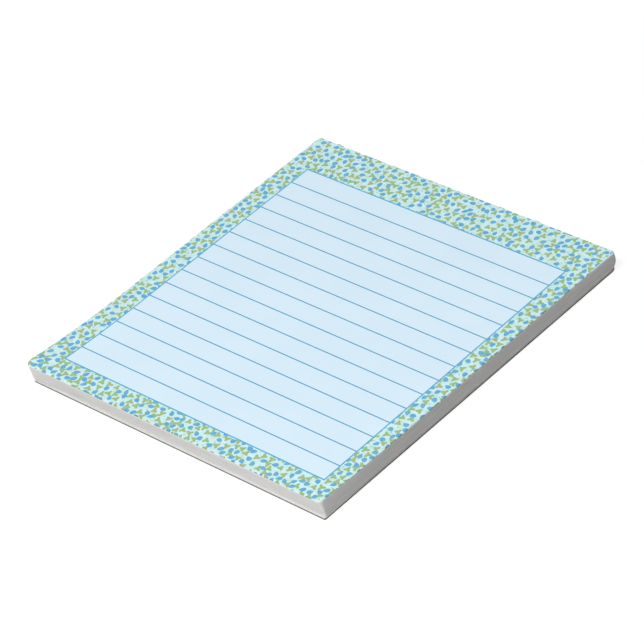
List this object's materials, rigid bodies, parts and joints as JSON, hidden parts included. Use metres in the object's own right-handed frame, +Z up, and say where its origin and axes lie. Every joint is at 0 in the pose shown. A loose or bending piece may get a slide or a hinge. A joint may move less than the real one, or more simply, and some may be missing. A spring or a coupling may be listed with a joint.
{
  "type": "ruled note pad",
  "caption": "Ruled writing pad: a block of leaves glued along one short edge on a thin board, with a framed ruled panel printed inside a strewn border of drops and sprigs.",
  "frame": {"origin": "on the underside of the backing board, below the middle of the leaves", "axes": "+X along the writing rules, +Y towards the glued edge, +Z up out of the printed face"},
  "size_m": [0.143, 0.1534, 0.0071],
  "materials": {
    "leaf_paper": "matte",
    "grey_board": "matte",
    "padding_glue": "satin",
    "panel_ink": "matte",
    "frame_ink": "matte",
    "rule_ink": "matte",
    "blue_ink": "matte",
    "green_ink": "matte"
  },
  "bodies": {
    "root": {"page_block": "leaf_paper", "backing_board": "grey_board", "glue_strip": "padding_glue", "writing_panel": "panel_ink", "frame_line": "frame_ink", "rule_lines": "rule_ink", "border_drops": "blue_ink", "border_sprigs": "green_ink"}
  },
  "joints": []
}
